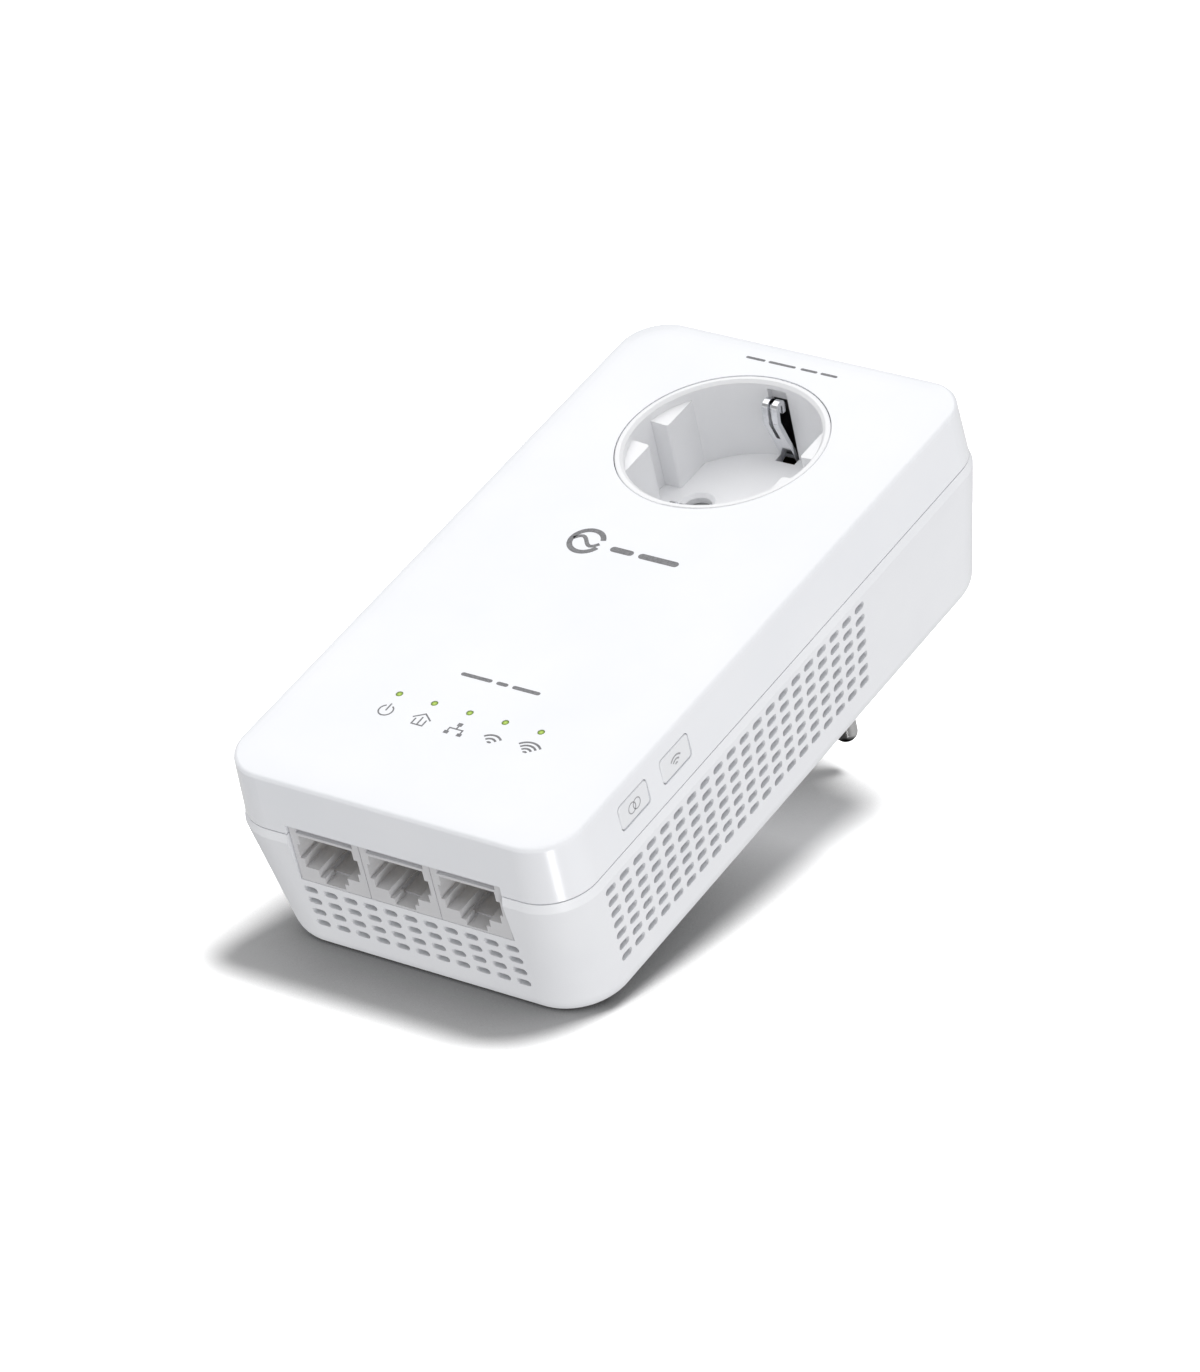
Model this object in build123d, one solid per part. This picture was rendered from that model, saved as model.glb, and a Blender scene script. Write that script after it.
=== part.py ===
from build123d import *
import os

# Pass-through powerline adapter with a Wi-Fi access point. Millimetres.
# +Z is up along the case as it hangs on a wall socket, +Y points into the wall, and the front
# face looks along -Y. The origin is the centre of the plug's mating face, between the pins.

# ---- driving dimensions -------------------------------------------------------------------
CASE_DEPTH = 43.0          # front face to back face
BASE_HEIGHT = 14.5         # plug base standing out of the back face
COVER_DEPTH = 12.9         # front face to the parting line
RIM_HALF_WIDTH = 38.2      # front cover at the front face
RIM_LENGTH = 147.3
RIM_RADIUS = 9.3
COVER_FLARE = 0.54         # growth of the cover's outline down to the parting line
BAND_DEPTH = 1.9           # bright shoulder of the rear case below the parting line
BAND_FLARE = 0.42
SIDE_DRAFT = 2.4           # how far each long wall leans in over the rear case's depth
END_DRAFT = 2.9
BACK_RADIUS = 12.5         # plan corner radius at the back face
BACK_FILLET = 4.5
FRONT_FILLET = 0.9
WALL = 2.2
PLATE = 2.5                # front plate and back plate thickness
SEAM = 0.22                # visible gap between the two shells
CROWN_DROP = 0.45          # the front face falls this much over its outer CROWN_WIDTH
CROWN_WIDTH = 7.0
CROWN_STEPS = 5

SOCKET_Z = -7.0            # socket axis, below the plug axis
CASE_MID_Z = -49.7         # middle of the case's length
RECESS_RADIUS = 19.4
RECESS_DEPTH = 17.5
RING_RADIUS = 21.0
PIN_SPACING = 19.0
PIN_RADIUS = 2.4
PIN_LENGTH = 19.0
SHANK_RADIUS = 2.0         # the pin's thinner part, inside the base
BASE_RADIUS = 18.4
RELIEF_RADIUS = 2.7        # shallow ring moulded round each pin in the plug's end face
RELIEF_DEPTH = 0.5
PIN_HOLE_RADIUS = 2.9      # holes in the recess floor
EARTH_SLOT_HALF_WIDTH = 2.2

PORT_COUNT = 3
PORT_PITCH = 16.0
PORT_OPENING_DEPTH = (10.7, 23.9)      # the port opening's edges, from the front face
SIDE_VENT_ROWS = 7
SIDE_VENT_COLUMNS = 20
END_VENT_ROWS = 4
END_VENT_COLUMNS = 11
VENT_LENGTH = 3.2
VENT_HEIGHT = 1.5
LED_COUNT = 5
LED_PITCH = 8.0
LED_RADIUS = 0.65
LED_HOLE_RADIUS = 0.72
LED_Z = -94.1
BUTTON_Z = {"pair": -99.3, "wifi": -85.4}
BUTTON_HEIGHT = 9.2        # along Z
BUTTON_WIDTH = 5.2         # along Y
BUTTON_RADIUS = 0.85       # the cap's corners
WINDOW_HEIGHT = 9.65       # the cap's window in the cover
WINDOW_WIDTH = 5.65
WINDOW_RADIUS = 1.05
LABEL_HALF_WIDTH = 21.8
LABEL_Z = (-94.8, -60.2)

# ---- planes worked out from them ----------------------------------------------------------
BACK_Y = -BASE_HEIGHT
FRONT_Y = BACK_Y - CASE_DEPTH
PARTING_Y = FRONT_Y + COVER_DEPTH
COVER_IN_Y = FRONT_Y + PLATE
CASE_IN_Y = BACK_Y - PLATE
FLOOR_Y = FRONT_Y + RECESS_DEPTH
PIN_X = PIN_SPACING / 2
RIM_HALF_LENGTH = RIM_LENGTH / 2
LOW_Z = CASE_MID_Z - RIM_HALF_LENGTH

MAIN_BOARD_Y = (-48.3, -46.7)      # front face, back face
POWER_BOARD_Y = (-23.6, -22.0)
BAR_Y = (-24.8, -23.6)             # mains bars lie on the power board's front face
PIN_SEAT_Y = CASE_IN_Y - 3.5       # inner end of the plug base, under the pins' heads
MAIN_BOARD_HALF_WIDTH = 34.3
MAIN_BOARD_Z = (-120.5, -33.0)
POWER_BOARD_HALF_WIDTH = 31.0
POWER_BOARD_Z = (-104.0, -27.0)

COVER_POST_RADIUS = 3.2
CASE_POST_RADIUS = 3.4
BOARD_POST_RADIUS = 2.6
BOARD_PILOT_RADIUS = 1.0           # pilot holes for the board screws
BOARD_HOLE_RADIUS = 1.15           # the boards' own screw holes
CASE_POSTS = [(x, z) for x in (-29.8, 29.8) for z in (-112.0, 13.0)]
MAIN_POSTS = [(x, z) for x in (-28.0, 28.0) for z in (-72.0, -40.0)]
POWER_POSTS = [(x, z) for x in (-27.0, 27.0) for z in (-98.0, -36.0)]

JACK_FACE_Z = -123.3
JACK_DEPTH = 17.0
JACK_CAVITY = 14.0
JACK_HALF_WIDTH = PORT_PITCH / 2 - 0.1
JACK_Y = (MAIN_BOARD_Y[1], -33.7)
# the stepped opening of a jack: half width, and the limits of each step from the board's face
JACK_STEPS = [(6.15, 2.1, 4.3), (6.9, 4.3, 7.7), (6.15, 7.7, 9.6), (3.3, 9.6, 11.3)]
LATCH_SLOT = (2.3, 11.3, 12.6)
LATCH_LIP = 3.5            # depth of the latch slot's front part
PORT_X = [PORT_PITCH * (i - (PORT_COUNT - 1) / 2) for i in range(PORT_COUNT)]
LED_X = [LED_PITCH * (i - (LED_COUNT - 1) / 2) for i in range(LED_COUNT)]
BUTTON_Y = FRONT_Y + 6.6


# ---- small helpers ------------------------------------------------------------------------
def block(x, y, z):
    """A box between the given (low, high) limits."""
    size = (x[1] - x[0], y[1] - y[0], z[1] - z[0])
    middle = ((x[0] + x[1]) / 2, (y[0] + y[1]) / 2, (z[0] + z[1]) / 2)
    return Pos(*middle) * Box(*size)


def rod(radius, y, x=0.0, z=0.0):
    """A cylinder along Y between the limits y."""
    return Pos(x, (y[0] + y[1]) / 2, z) * Rot(90, 0, 0) * Cylinder(radius, y[1] - y[0])


def rod_x(radius, x, y, z):
    """A cylinder along X between the limits x."""
    return Pos((x[0] + x[1]) / 2, y, z) * Rot(0, 90, 0) * Cylinder(radius, x[1] - x[0])


def slab(outline, y):
    """An outline drawn in X and Z, made solid between the limits y."""
    return extrude(Plane.XZ.offset(-y[1]) * outline, amount=y[1] - y[0])


def ring(outer, inner, y, x=0.0, z=0.0):
    """A tube along Y."""
    return rod(outer, y, x, z) - rod(inner, (y[0] - 1, y[1] + 1), x, z)


def case_section(y, half_width, half_length, radius):
    """A rounded rectangle across the case at depth y."""
    shape = Pos(0, CASE_MID_Z) * RectangleRounded(2 * half_width, 2 * half_length, radius)
    return Plane.XZ.offset(-y) * shape


def case_loft(sections):
    """A solid through rounded rectangles given as (y, half width, half length, radius)."""
    return loft([case_section(*s) for s in sections], ruled=True)


def strip(points, radius, thickness, half_width):
    """A bent metal strip: points are (y, z), and its width runs along X."""
    outline = trace(FilletPolyline(*points, radius=radius), thickness)
    return extrude(Plane.YZ * outline, amount=half_width, both=True)


def write(name, shape):
    """Write one node's STEP file."""
    export_step(shape, os.path.join("parts", name + ".step"))


def group(solids):
    """Separate solids that share one node."""
    return Compound(children=list(solids))


# ---- outer shells -------------------------------------------------------------------------
def cover_sections(inset, y_front):
    """Outline of the cover, moved in by inset, from y_front to the seam."""
    rows = []
    for y in (y_front, PARTING_Y - SEAM):
        flare = COVER_FLARE * (y - FRONT_Y) / COVER_DEPTH - inset
        rows.append((y, RIM_HALF_WIDTH + flare, RIM_HALF_LENGTH + flare, RIM_RADIUS + flare))
    return rows


def crown_sections():
    """Outlines of the front face's shallow crown, from its flat middle out to the rim."""
    rows = []
    for step in range(CROWN_STEPS + 1):
        t = step / CROWN_STEPS
        inset = CROWN_WIDTH * (1 - t)
        sizes = (RIM_HALF_WIDTH - inset, RIM_HALF_LENGTH - inset, RIM_RADIUS - inset)
        rows.append((FRONT_Y + CROWN_DROP * t * t, *sizes))
    return rows


def rim_edges(body):
    """The cover's outer front edges, where the crown meets the side walls."""
    low = FRONT_Y + CROWN_DROP - 0.05
    high = FRONT_Y + CROWN_DROP + 0.15
    return body.edges().filter_by(lambda e: low < e.bounding_box().min.Y
                                  and e.bounding_box().max.Y < high)


def make_front_cover():
    body = case_loft(crown_sections() + cover_sections(0, FRONT_Y)[1:])
    body = fillet(rim_edges(body), FRONT_FILLET)
    body -= case_loft(cover_sections(WALL, COVER_IN_Y))
    board = MAIN_BOARD_Y[0]
    pilot_radius = 1.3
    ring_gap = 0.15
    body = body + [rod(COVER_POST_RADIUS, (COVER_IN_Y, PARTING_Y), x, z) for x, z in CASE_POSTS]
    body = body + [rod(BOARD_POST_RADIUS, (COVER_IN_Y, board), x, z) for x, z in MAIN_POSTS]
    holes = [rod(pilot_radius, (COVER_IN_Y + 1, PARTING_Y + 1), x, z) for x, z in CASE_POSTS]
    holes += [rod(BOARD_PILOT_RADIUS, (COVER_IN_Y + 0.5, board + 1), x, z) for x, z in MAIN_POSTS]
    holes.append(rod(RING_RADIUS + ring_gap, (FRONT_Y - 1, COVER_IN_Y + 0.1), 0, SOCKET_Z))
    holes += [rod(LED_HOLE_RADIUS, (FRONT_Y - 1, COVER_IN_Y + 1), x, LED_Z) for x in LED_X]
    for z in BUTTON_Z.values():
        holes.append(rounded_key((30.0, 42.0), WINDOW_HEIGHT, WINDOW_WIDTH, WINDOW_RADIUS, z))
    holes.append(port_notch())
    return body - holes


def port_notch():
    """The opening for the jacks, cut into both shells' lower end wall."""
    half = PORT_PITCH * PORT_COUNT / 2 + 0.25
    y = [FRONT_Y + depth for depth in PORT_OPENING_DEPTH]
    return block((-half, half), y, (LOW_Z - 5, LOW_Z + 6))


def rear_half_sizes(y):
    """Half width, half length and corner radius of the rear case's wall at depth y."""
    band_y = PARTING_Y + BAND_DEPTH
    t = (y - band_y) / (BACK_Y - band_y)
    grow = COVER_FLARE + BAND_FLARE
    radius = RIM_RADIUS + grow + t * (BACK_RADIUS - RIM_RADIUS - grow)
    return (RIM_HALF_WIDTH + grow - SIDE_DRAFT * t, RIM_HALF_LENGTH + grow - END_DRAFT * t, radius)


def vent_slot():
    """The outline of one vent slot, its length along X."""
    return SlotOverall(VENT_LENGTH, VENT_HEIGHT)


def side_vents():
    """Vent slots in both long walls; the rows close up slightly towards the back."""
    first_row = FRONT_Y + 16.7
    row_pitch = 2.9
    walls = ((33.0, 45.0), (-45.0, -33.0))
    slots = []
    for row in range(SIDE_VENT_ROWS):
        start = CASE_MID_Z - 61.6 + 0.3 * row
        pitch = 4.54 - 0.025 * row
        for column in range(SIDE_VENT_COLUMNS):
            for x in walls:
                tool = Rot(0, 90, 0) * extrude(vent_slot(), amount=x[1] - x[0])
                slots.append(Pos(x[0], first_row + row_pitch * row, start + pitch * column) * tool)
    return slots


def end_vents():
    """Vent slots below the ports."""
    first_row = FRONT_Y + 26.3
    row_pitch = 2.97
    pitch = 4.56
    tool = extrude(vent_slot(), amount=10)
    slots = []
    for row in range(END_VENT_ROWS):
        for column in range(END_VENT_COLUMNS):
            x = pitch * (column - (END_VENT_COLUMNS - 1) / 2)
            slots.append(Pos(x, first_row + row_pitch * row, LOW_Z - 4) * tool)
    return slots


def make_tongue():
    """The rear case's thin upstand inside the cover's edge, on a shelf joined to the wall."""
    lip = [size + COVER_FLARE - WALL - 0.2 for size in (RIM_HALF_WIDTH, RIM_HALF_LENGTH, RIM_RADIUS)]
    shelf = [size + 1.2 for size in lip]
    hollow = [size - 1.3 for size in lip]
    tongue = case_loft([(PARTING_Y - 2.0, *lip), (PARTING_Y, *lip)])
    tongue += case_loft([(PARTING_Y, *shelf), (PARTING_Y + 1.5, *shelf)])
    return tongue - case_loft([(PARTING_Y - 3, *hollow), (PARTING_Y + 2, *hollow)])


def make_rear_case():
    """The rear shell with its vents, tongue, screw posts and the opening for the plug base."""
    band_y = PARTING_Y + BAND_DEPTH
    shank_hole = 1.45
    head_hole = 2.8
    head_seat_y = -27.0
    label_pocket = block((-LABEL_HALF_WIDTH - 0.2, LABEL_HALF_WIDTH + 0.2),
                         (BACK_Y - 0.25, BACK_Y + 1), (LABEL_Z[0] - 0.2, LABEL_Z[1] + 0.2))
    start = (RIM_HALF_WIDTH + COVER_FLARE, RIM_HALF_LENGTH + COVER_FLARE, RIM_RADIUS + COVER_FLARE)
    shoulder = case_loft([(PARTING_Y, *start), (band_y, *rear_half_sizes(band_y))])
    wall = case_loft([(y, *rear_half_sizes(y)) for y in (band_y, BACK_Y)])
    wall = fillet(wall.edges().group_by(Axis.Y)[-1], BACK_FILLET)
    body = wall + shoulder
    inner = []
    for y in (PARTING_Y, CASE_IN_Y):
        w, l, r = rear_half_sizes(y)
        inner.append((y, w - WALL - 0.2, l - WALL - 0.2, r - WALL))
    body -= case_loft(inner)
    body -= side_vents()
    body -= end_vents()
    body += make_tongue()
    board = POWER_BOARD_Y[1]
    body = body + [rod(CASE_POST_RADIUS, (PARTING_Y, CASE_IN_Y), x, z) for x, z in CASE_POSTS]
    body = body + [rod(BOARD_POST_RADIUS, (board, CASE_IN_Y), x, z) for x, z in POWER_POSTS]
    holes = [rod(shank_hole, (PARTING_Y - 1, head_seat_y + 7), x, z) for x, z in CASE_POSTS]
    holes += [rod(head_hole, (head_seat_y, BACK_Y + 1), x, z) for x, z in CASE_POSTS]
    holes += [rod(BOARD_PILOT_RADIUS, (board - 1, CASE_IN_Y + 0.5), x, z) for x, z in POWER_POSTS]
    holes.append(rod(BASE_RADIUS + 0.1, (CASE_IN_Y - 1, BACK_Y + 1)))
    holes += [port_notch(), label_pocket]
    return body - holes


# ---- socket -------------------------------------------------------------------------------
def make_socket_well():
    """The round recess with its ring, guide ribs, earth slots and pin holes."""
    back = FLOOR_Y + 2.0
    flange_radius = RING_RADIUS + 2.5
    pivot_radius = 1.4
    recess_draft = 0.15
    cup = rod(RING_RADIUS, (FRONT_Y, back), 0, SOCKET_Z)
    cup += rod(flange_radius, (COVER_IN_Y, COVER_IN_Y + 1.6), 0, SOCKET_Z)
    lean = Pos(0, (FRONT_Y + FLOOR_Y) / 2, SOCKET_Z) * Rot(90, 0, 0)
    cup -= lean * Cone(RECESS_RADIUS - recess_draft, RECESS_RADIUS, RECESS_DEPTH)
    mouth = cup.edges().filter_by(GeomType.CIRCLE).group_by(Axis.Y)[0]
    inner_mouth = mouth.sort_by(lambda e: e.radius)[0]
    cup = chamfer(inner_mouth, 0.6)
    outer_mouth = cup.edges().filter_by(GeomType.CIRCLE).group_by(Axis.Y)[0]
    cup = fillet(outer_mouth.sort_by(lambda e: e.radius)[-1], 0.3)
    cup = cup + guide_ribs()
    cup += rod(pivot_radius, (back, back + 1.7), 0, SOCKET_Z)
    holes = []
    for x in (-PIN_X, PIN_X):
        holes.append(rod(PIN_HOLE_RADIUS, (FLOOR_Y - 1, back + 1), x, SOCKET_Z))
        rim = Pos(x, FLOOR_Y + 0.35, SOCKET_Z) * Rot(90, 0, 0)
        holes.append(rim * Cone(PIN_HOLE_RADIUS, PIN_HOLE_RADIUS + 0.8, 0.8))
    for sign in (-1, 1):
        holes += earth_slots(sign, back)
    return cup - holes


def earth_slots(sign, back):
    """Slots for the earth strap in the recess wall and floor, above (1) or below (-1) the axis."""
    x = (-EARTH_SLOT_HALF_WIDTH, EARTH_SLOT_HALF_WIDTH)
    floor_span = sorted((SOCKET_Z + sign * 17.2, SOCKET_Z + sign * 22.0))
    wall_span = sorted((SOCKET_Z + sign * 18.5, SOCKET_Z + sign * 22.0))
    upper_span = sorted((SOCKET_Z + sign * 18.5, SOCKET_Z + sign * 20.4))
    return [block(x, (FRONT_Y + 4.2, FLOOR_Y + 0.1), wall_span),
            block(x, (FRONT_Y + 1.6, FRONT_Y + 4.3), upper_span),
            block(x, (FLOOR_Y - 0.1, back + 1), floor_span)]


def guide_ribs():
    """Four ribs, in pairs at the left and right of the recess."""
    flat = 15.2
    gap = 3.2
    wall = RECESS_RADIUS + 0.8
    profile = Polyline((flat, FLOOR_Y + 0.5), (flat, FRONT_Y + 2.4), (wall, FRONT_Y + 2.0),
                       (wall, FLOOR_Y + 0.5), close=True)
    rib = Pos(0, 0, gap) * extrude(make_face(profile), amount=14.0)
    inner_edges = rib.edges().filter_by(Axis.Y).sort_by(Axis.X)[:2]
    rib = fillet(inner_edges.sort_by(Axis.Z)[0], 0.6)
    pair = [rib, mirror(rib, Plane.XY)]
    four = pair + [mirror(one, Plane.YZ) for one in pair]
    bound = rod(wall, (FRONT_Y, FLOOR_Y + 1), 0, SOCKET_Z)
    return [(Pos(0, 0, SOCKET_Z) * one) & bound for one in four]


def make_earth_strap():
    """One bent strip: two sprung side contacts in the recess, joined behind the socket."""
    top = 19.6
    points = [(FRONT_Y + 5.6, 18.2), (FRONT_Y + 2.9, 18.6), (FRONT_Y + 3.2, 16.4),
              (FRONT_Y + 7.0, 16.0), (FLOOR_Y - 1.5, top - 0.7), (FLOOR_Y + 3.0, top),
              (BAR_Y[1] - 0.5, top), (BAR_Y[1] - 0.5, 0)]
    half = Pos(0, 0, SOCKET_Z) * strip(points, 0.9, 1.0, 1.7)
    half -= block((-0.45, 0.45), (FRONT_Y, FLOOR_Y - 6), (SOCKET_Z, SOCKET_Z + 30))
    other = Pos(0, 0, 2 * SOCKET_Z) * mirror(half, Plane.XY)
    return half + other


def make_contact(x):
    """A split sleeve that grips a plug pin, with its foot on the mains bar."""
    sleeve = ring(3.4, 2.3, (-35.4, -26.0), x, SOCKET_Z)
    sleeve -= block((x - 0.5, x + 0.5), (-36, -28), (SOCKET_Z - 5, SOCKET_Z + 5))
    foot = rod(3.4, (-26.0, BAR_Y[0]), x, SOCKET_Z)
    return sleeve + foot


def make_contact_block():
    """The insulating block behind the shutter: it holds both sleeves and the shutter's spring."""
    y = (-36.2, -28.0)
    body = block((-16, 16), y, (SOCKET_Z - 7, SOCKET_Z + 7))
    body = fillet(body.edges().filter_by(Axis.Y), 2.5)
    body -= rod(3.6, (y[0] - 1, y[0] + 2.2), 0, SOCKET_Z)
    for x in (-PIN_X, PIN_X):
        body -= rod(3.6, (y[0] - 1, y[1] + 1), x, SOCKET_Z)
    return body


def make_shutter_spring():
    """The small coil that turns the shutter back."""
    turns = Helix(pitch=0.5, height=1.5, radius=2.7)
    wire = sweep(Plane(origin=turns @ 0, z_dir=turns % 0) * Circle(0.18), path=turns)
    return Pos(0, -34.25, SOCKET_Z) * Rot(90, 0, 0) * wire


def make_shutter():
    """The safety shutter: a two-winged plate turning about the socket's axis."""
    y = (-37.9, -36.4)
    wings = RectangleRounded(27, 7, 1.5) + Circle(4.2)
    plate = slab(Pos(0, SOCKET_Z) * wings, y)
    return plate - rod(1.48, (y[0] - 1, y[1] + 1), 0, SOCKET_Z)


# ---- plug ---------------------------------------------------------------------------------
def make_plug_base():
    """The round plug base with guide grooves, pin holes and slots for the earth contacts."""
    flange_radius = BASE_RADIUS + 1.1
    groove_x = 15.4
    contact_z = 17.45
    body = rod(BASE_RADIUS, (CASE_IN_Y, 0))
    body = chamfer(body.edges().filter_by(GeomType.CIRCLE).group_by(Axis.Y)[-1], 0.9)
    body += rod(flange_radius, (CASE_IN_Y - 2, CASE_IN_Y))
    body += rod(14.0, (PIN_SEAT_Y, CASE_IN_Y - 2))
    for side in (-1, 1):
        groove = sorted((side * groove_x, side * (BASE_RADIUS + 2)))
        body -= block(groove, (BACK_Y + 0.5, 1), (-2.7, 2.7))
        body -= rod(SHANK_RADIUS + 0.02, (PIN_SEAT_Y - 1, 1), side * PIN_X)
        body -= rod(RELIEF_RADIUS, (-RELIEF_DEPTH, 1), side * PIN_X)
        contact = sorted((side * contact_z, side * (BASE_RADIUS + 0.6)))
        body -= block((-2.1, 2.1), (PIN_SEAT_Y - 2, -2.4), contact)
    return body


def make_plug_pin(x):
    """A round pin with a domed tip, a thinner shank through the base and a riveted head."""
    pin = rod(PIN_RADIUS, (0, PIN_LENGTH), x)
    pin = fillet(pin.edges().filter_by(GeomType.CIRCLE).group_by(Axis.Y)[-1], 2.1)
    pin += rod(SHANK_RADIUS, (PIN_SEAT_Y, 0), x)
    return pin + rod(3.6, (BAR_Y[1], PIN_SEAT_Y), x)


def make_plug_earth_contact(sign):
    """A side contact of the plug, with its leg turned in to lie on the earth strap."""
    points = [(-2.8, 18.0), (-23.2, 18.0), (-23.2, 9.5)]
    leg = strip(points, 1.0, 0.8, 1.9)
    if sign < 0:
        leg = mirror(leg, Plane.XY)
    return leg


def make_mains_bar(x):
    """The flat bar from a plug pin past the socket sleeve to the power board."""
    return block((x - 3.0, x + 3.0), BAR_Y, (-32.0, 4.0))


# ---- boards and what they carry -----------------------------------------------------------
def make_main_board():
    board = block((-MAIN_BOARD_HALF_WIDTH, MAIN_BOARD_HALF_WIDTH), MAIN_BOARD_Y, MAIN_BOARD_Z)
    board = fillet(board.edges().filter_by(Axis.Y), 5.0)
    wide = (MAIN_BOARD_Y[0] - 1, MAIN_BOARD_Y[1] + 1)
    board -= [rod(CASE_POST_RADIUS + 0.3, wide, x, z) for x, z in CASE_POSTS]
    board -= [rod(BOARD_HOLE_RADIUS, wide, x, z) for x, z in MAIN_POSTS]
    return board


def make_power_board():
    board = block((-POWER_BOARD_HALF_WIDTH, POWER_BOARD_HALF_WIDTH), POWER_BOARD_Y, POWER_BOARD_Z)
    board = fillet(board.edges().filter_by(Axis.Y), 2.0)
    wide = (POWER_BOARD_Y[0] - 1, POWER_BOARD_Y[1] + 1)
    return board - [rod(BOARD_HOLE_RADIUS, wide, x, z) for x, z in POWER_POSTS]


def screw(head_y, shank_to, head_radius, shank_radius, x, z):
    """A pan-head screw along Y with a cross recess; its head starts at head_y."""
    toward = 1 if shank_to > head_y else -1
    head_end = head_y + 1.5 * toward
    head = rod(head_radius, (min(head_y, head_end), max(head_y, head_end)), x, z)
    shank = rod(shank_radius, (min(head_end, shank_to), max(head_end, shank_to)), x, z)
    cross_end = head_y + 0.7 * toward
    depth = (min(head_y - toward, cross_end), max(head_y - toward, cross_end))
    arm = head_radius * 0.6
    head -= block((x - arm, x + arm), depth, (z - 0.3, z + 0.3))
    head -= block((x - 0.3, x + 0.3), depth, (z - arm, z + arm))
    return head + shank


def make_jack(x):
    """A modular jack: the latch side of its stepped opening faces the back of the case."""
    front = JACK_FACE_Z
    board = JACK_Y[0]
    mouth = front - 1
    body = block((x - JACK_HALF_WIDTH, x + JACK_HALF_WIDTH), JACK_Y, (front, front + JACK_DEPTH))
    for half, low, high in JACK_STEPS:
        body -= block((x - half, x + half), (board + low - 0.01, board + high),
                      (mouth, front + JACK_CAVITY))
    half, low, high = LATCH_SLOT
    body -= block((x - half, x + half), (board + low - 0.01, board + high),
                  (mouth, front + LATCH_LIP))
    pocket = half + 0.6
    body -= block((x - pocket, x + pocket), (board + low - 0.01, board + high - 0.4),
                  (front + LATCH_LIP - 0.6, front + JACK_CAVITY))
    recess = JACK_STEPS[0][0] + 0.3
    body -= block((x - recess, x + recess), (board - 1, board + JACK_STEPS[0][1] - 0.6),
                  (mouth, front + 0.8))
    return body


def make_jack_contacts():
    """Eight sprung wires in each jack, along the side next to the board."""
    wires = []
    y = JACK_Y[0] + JACK_STEPS[0][1]
    back = JACK_FACE_Z + JACK_CAVITY - 0.2
    front = JACK_FACE_Z + 3.0
    wire_pitch = 1.02
    for x in PORT_X:
        for k in range(8):
            points = Polyline((y + 0.15, back), (y + 0.15, front), (y + 0.6, front),
                              (y + 1.5, back), close=True)
            face = make_face(Plane.YZ * points)
            wires.append(Pos(x + wire_pitch * (k - 3.5), 0, 0) * extrude(face, amount=0.22, both=True))
    return group(wires)


def make_light_guide():
    """Five clear posts on one bar, from the status lamps to the front face."""
    half = 1.2
    lamp_face = MAIN_BOARD_Y[0] - 0.9
    bar = block((LED_X[0] - half, LED_X[-1] + half), (-54.6, -53.4), (LED_Z - half, LED_Z + half))
    return bar + [rod(LED_RADIUS, (FRONT_Y + 0.05, lamp_face), x, LED_Z) for x in LED_X]


def make_status_lamps():
    face = MAIN_BOARD_Y[0]
    lamps = [block((x - 0.8, x + 0.8), (face - 0.6, face), (LED_Z - 0.5, LED_Z + 0.5)) for x in LED_X]
    return group(lamps)


def wall_x(y):
    """Outer face of the cover's right wall at depth y."""
    return RIM_HALF_WIDTH + COVER_FLARE * (y - FRONT_Y) / COVER_DEPTH


def rounded_key(x, height, width, radius, z):
    """A key shape with rounded corners, its thickness along X and its height along Z."""
    plane = Plane(origin=(x[0], BUTTON_Y, z), x_dir=(0, 0, 1), z_dir=(1, 0, 0))
    return extrude(plane * RectangleRounded(height, width, radius), amount=x[1] - x[0])


def make_button(z):
    """A flush push button with a retaining flange behind the wall and a short stem."""
    flange_half = BUTTON_HEIGHT / 2 + 0.9
    face = wall_x(BUTTON_Y) + 0.05
    cap = rounded_key((35.0, face), BUTTON_HEIGHT, BUTTON_WIDTH, BUTTON_RADIUS, z)
    cap = fillet(cap.faces().sort_by(Axis.X)[-1].edges(), 0.3)
    cap += block((34.6, 35.4), (BUTTON_Y - 2.4, BUTTON_Y + 2.4), (z - flange_half, z + flange_half))
    return cap + rod_x(1.0, (33.9, 34.6), BUTTON_Y, z)


def make_switch(z):
    """The right-angle switch body under a button."""
    face = MAIN_BOARD_Y[0]
    body = block((28.4, 32.6), (face - 4.9, face), (z - 3.0, z + 3.0))
    return body - rod_x(1.45, (30.6, 33.0), BUTTON_Y, z)


def make_switch_plunger(z):
    return rod_x(1.35, (31.4, 33.9), BUTTON_Y, z)


def on_power_board(x, z, height):
    """A box-shaped component on the power board's front face."""
    return block(x, (POWER_BOARD_Y[0] - height, POWER_BOARD_Y[0]), z)


def can(radius, height, x, z):
    """A capacitor can standing on the power board, with a crimp groove."""
    face = POWER_BOARD_Y[0]
    body = rod(radius, (face - height, face), x, z)
    body = fillet(body.edges().group_by(Axis.Y)[0], 0.6)
    return body - ring(radius + 1, radius - 0.35, (face - 3.0, face - 2.2), x, z)


def make_transformer():
    """Ferrite core as a closed frame with a middle leg, and its winding."""
    x = (-9.0, 13.0)
    z = (-91.0, -71.0)
    face = POWER_BOARD_Y[0]
    core = block(x, (face - 16.5, face - 3.0), z)
    window_y = (face - 17, face - 2)
    core -= block((-3.6, 7.6), window_y, (-87.8, -84.0))
    core -= block((-3.6, 7.6), window_y, (-78.0, -74.2))
    winding = block((-3.4, 7.4), (face - 18.0, face), (-87.6, -74.4))
    winding = fillet(winding.edges().filter_by(Axis.X), 1.5)
    winding -= block((-4, 8), (face - 16.55, face - 2.95), (-84.0, -78.0))
    return core, winding


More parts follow.
